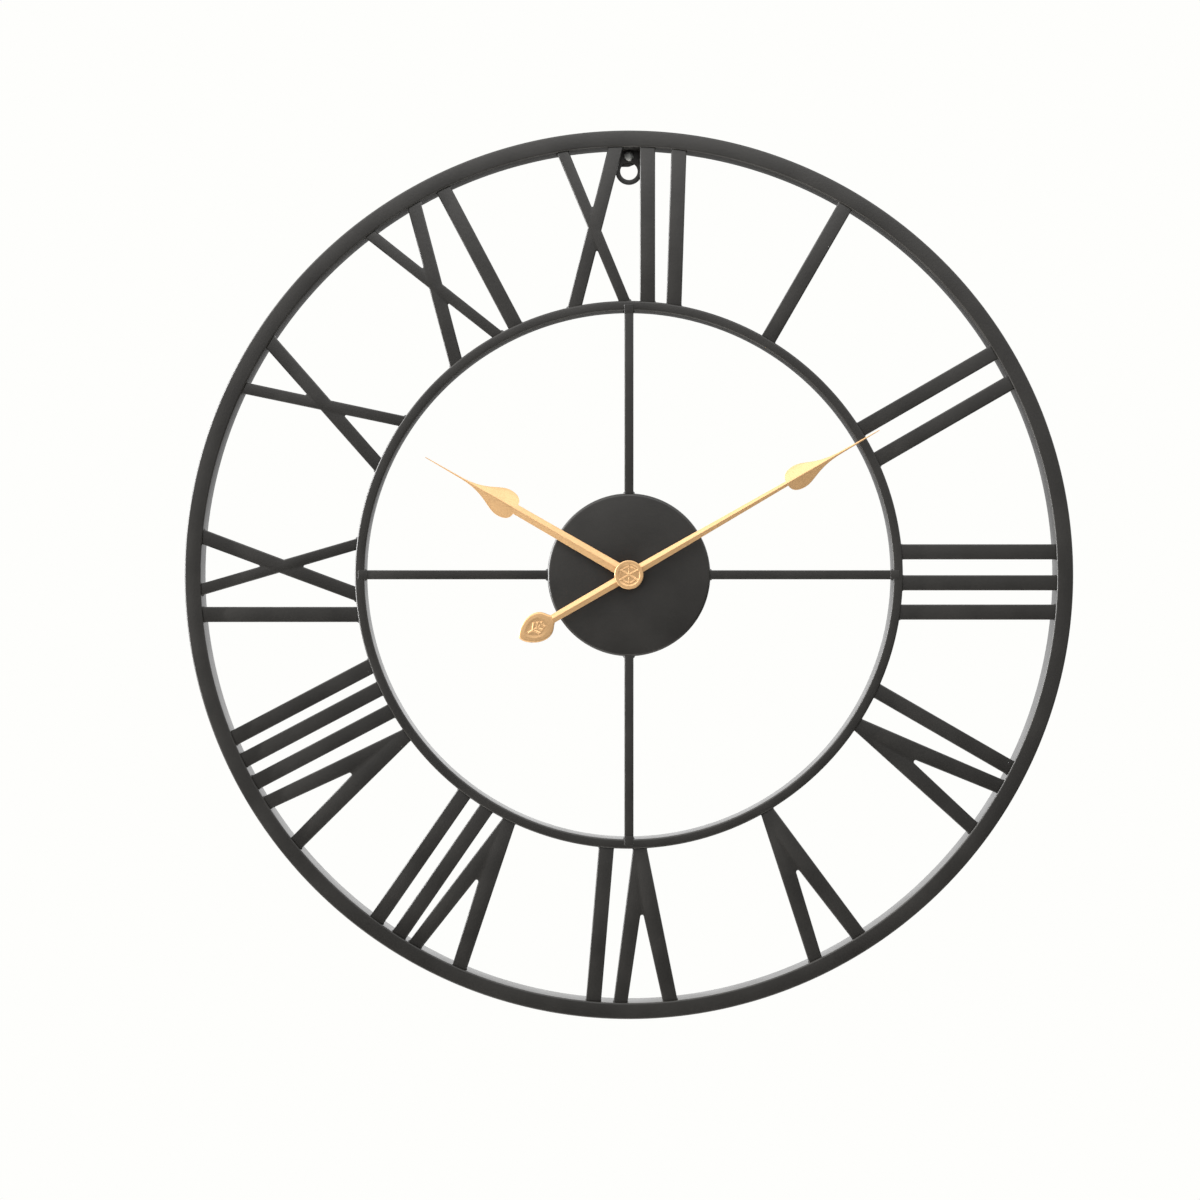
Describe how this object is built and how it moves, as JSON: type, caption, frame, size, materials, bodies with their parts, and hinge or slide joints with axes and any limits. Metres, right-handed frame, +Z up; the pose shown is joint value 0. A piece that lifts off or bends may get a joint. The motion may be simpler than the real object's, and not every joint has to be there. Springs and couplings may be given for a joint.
{
  "type": "wall clock",
  "caption": "Round open-frame steel wall clock: two channel rings joined by Roman numerals and spokes, a hub pan, ridged gold hands and a battery quartz movement.",
  "frame": {"origin": "the hang point: the middle of the hanger tab's lower edge, where the nail bears, on the wall plane", "axes": "+Y into the wall (the clock faces -Y), +Z up towards 12, +X to the right as seen from the front"},
  "size_m": [0.6, 0.0366, 0.6],
  "materials": {
    "black_powder_coat": "satin black powder coat on mild steel",
    "bare_steel": "bare bright steel",
    "gold_paint": "champagne gold paint on aluminium sheet",
    "case_plastic": "moulded black ABS",
    "battery_label": "plain film wrap, no markings",
    "brass": "turned brass",
    "white_nylon": "moulded acetal",
    "magnet": "sintered magnet",
    "copper_winding": "enamelled copper wire",
    "circuit_board": "green solder mask",
    "rubber": "black rubber"
  },
  "bodies": {
    "frame": {"outer_ring": "black_powder_coat", "inner_ring": "black_powder_coat", "hub_pan": "black_powder_coat", "spoke_12": "black_powder_coat", "spoke_3": "black_powder_coat", "spoke_6": "black_powder_coat", "spoke_9": "black_powder_coat", "numeral_1_i1": "black_powder_coat", "numeral_2_i1": "black_powder_coat", "numeral_2_i2": "black_powder_coat", "numeral_3_i1": "black_powder_coat", "numeral_3_i2": "black_powder_coat", "numeral_3_i3": "black_powder_coat", "numeral_4_i1": "black_powder_coat", "numeral_4_v2": "black_powder_coat", "numeral_5_v1": "black_powder_coat", "numeral_6_v1": "black_powder_coat", "numeral_6_i2": "black_powder_coat", "numeral_7_v1": "black_powder_coat", "numeral_7_i2": "black_powder_coat", "numeral_7_i3": "black_powder_coat", "numeral_8_v1": "black_powder_coat", "numeral_8_i2": "black_powder_coat", "numeral_8_i3": "black_powder_coat", "numeral_8_i4": "black_powder_coat", "numeral_9_i1": "black_powder_coat", "numeral_9_x2": "black_powder_coat", "numeral_10_x1": "black_powder_coat", "numeral_11_x1": "black_powder_coat", "numeral_11_i2": "black_powder_coat", "numeral_12_x1": "black_powder_coat", "numeral_12_i2": "black_powder_coat", "numeral_12_i3": "black_powder_coat", "hanger_tab": "black_powder_coat", "hanger_plate": "black_powder_coat", "hanger_rivet": "bare_steel", "movement_case": "case_plastic", "movement_cover": "case_plastic", "battery": "battery_label", "battery_plus_contact": "bare_steel", "battery_spring_contact": "bare_steel", "stator": "bare_steel", "coil": "copper_winding", "circuit_board": "circuit_board", "quartz_crystal": "bare_steel", "rubber_washer": "rubber", "brass_washer": "brass", "mounting_nut": "brass"},
    "minute": {"minute_hand": "gold_paint", "hand_cap": "gold_paint", "cannon_pinion": "brass"},
    "hour": {"hour_hand": "gold_paint", "hour_wheel": "white_nylon"},
    "motion_wheel": {"motion_wheel": "white_nylon"},
    "set_knob": {"set_knob": "case_plastic"},
    "rotor": {"rotor": "magnet"},
    "reduction_wheel_1": {"reduction_wheel_1": "white_nylon"},
    "reduction_wheel_2": {"reduction_wheel_2": "white_nylon"},
    "third_wheel": {"third_wheel": "white_nylon"},
    "centre_wheel": {"centre_wheel": "brass"}
  },
  "joints": [
    {"name": "minute_turn", "type": "hinge", "parent": "frame", "child": "minute", "pos_m": [0, -0.012, -0.2782], "axis": [0, 1, 0], "continuous": true},
    {"name": "hour_turn", "type": "hinge", "parent": "frame", "child": "hour", "pos_m": [0, -0.012, -0.2782], "axis": [0, 1, 0], "continuous": true},
    {"name": "motion_wheel_turn", "type": "hinge", "parent": "frame", "child": "motion_wheel", "pos_m": [-0.00902, -0.012, -0.27492], "axis": [0, 1, 0], "continuous": true},
    {"name": "set_knob_turn", "type": "hinge", "parent": "frame", "child": "set_knob", "pos_m": [-0.00574, -0.012, -0.2659], "axis": [0, 1, 0], "continuous": true},
    {"name": "rotor_turn", "type": "hinge", "parent": "frame", "child": "rotor", "pos_m": [0.00598, -0.012, -0.25907], "axis": [0, 1, 0], "continuous": true},
    {"name": "reduction_wheel_1_turn", "type": "hinge", "parent": "frame", "child": "reduction_wheel_1", "pos_m": [0.00417, -0.012, -0.26584], "axis": [0, 1, 0], "continuous": true},
    {"name": "reduction_wheel_2_turn", "type": "hinge", "parent": "frame", "child": "reduction_wheel_2", "pos_m": [0.01153, -0.012, -0.27009], "axis": [0, 1, 0], "continuous": true},
    {"name": "third_wheel_turn", "type": "hinge", "parent": "frame", "child": "third_wheel", "pos_m": [0.00936, -0.012, -0.2782], "axis": [0, 1, 0], "continuous": true},
    {"name": "centre_wheel_turn", "type": "hinge", "parent": "frame", "child": "centre_wheel", "pos_m": [0, -0.012, -0.2782], "axis": [0, 1, 0], "continuous": true}
  ],
  "couplings": [
    {"joint": "hour_turn", "follows": "minute_turn", "ratio": 0.083333},
    {"joint": "motion_wheel_turn", "follows": "minute_turn", "ratio": -0.33333},
    {"joint": "set_knob_turn", "follows": "minute_turn", "ratio": 1},
    {"joint": "reduction_wheel_1_turn", "follows": "rotor_turn", "ratio": -0.16667},
    {"joint": "reduction_wheel_2_turn", "follows": "rotor_turn", "ratio": 0.022222},
    {"joint": "third_wheel_turn", "follows": "rotor_turn", "ratio": -0.0044444},
    {"joint": "centre_wheel_turn", "follows": "rotor_turn", "ratio": 0.00055556}
  ]
}
